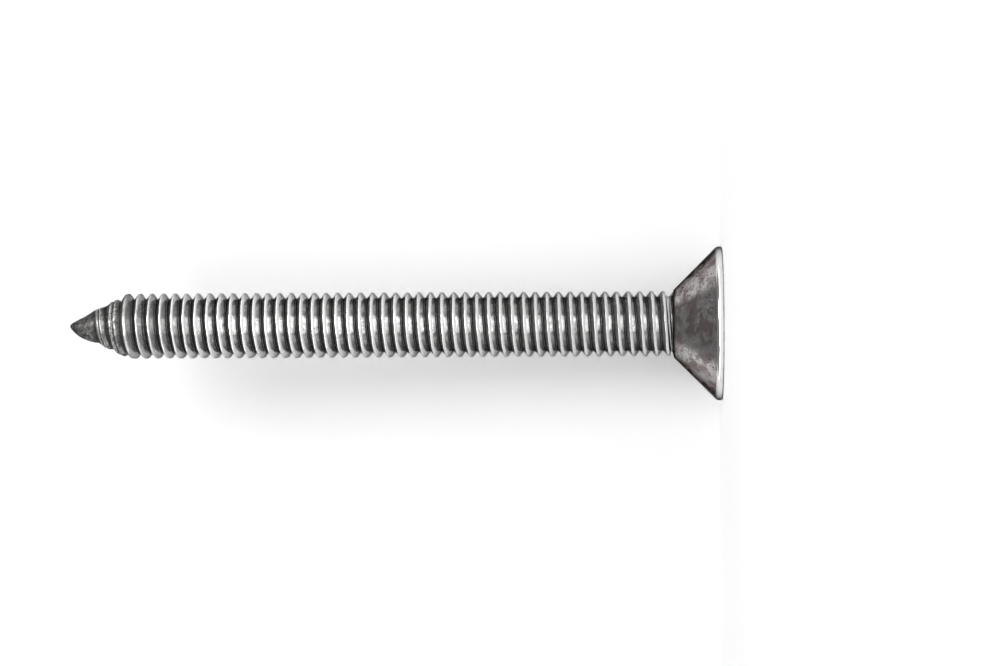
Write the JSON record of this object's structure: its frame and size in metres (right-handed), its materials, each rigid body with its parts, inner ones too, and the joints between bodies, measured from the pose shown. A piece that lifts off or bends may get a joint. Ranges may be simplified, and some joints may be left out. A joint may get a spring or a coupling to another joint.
{
  "type": "countersunk socket screw",
  "caption": "Countersunk screw with a hexagon socket in its flat head, a shank threaded all the way to the head and a sharp point.",
  "frame": {"origin": "centre of the flat head face, on which the screw stands", "axes": "+Z along the screw's axis from the head face to the point; +X through a corner of the hexagon socket"},
  "size_m": [0.0094, 0.0094, 0.0393],
  "materials": {
    "steel": "satin, as forged and rolled"
  },
  "bodies": {
    "root": {"screw": "steel"}
  },
  "joints": []
}
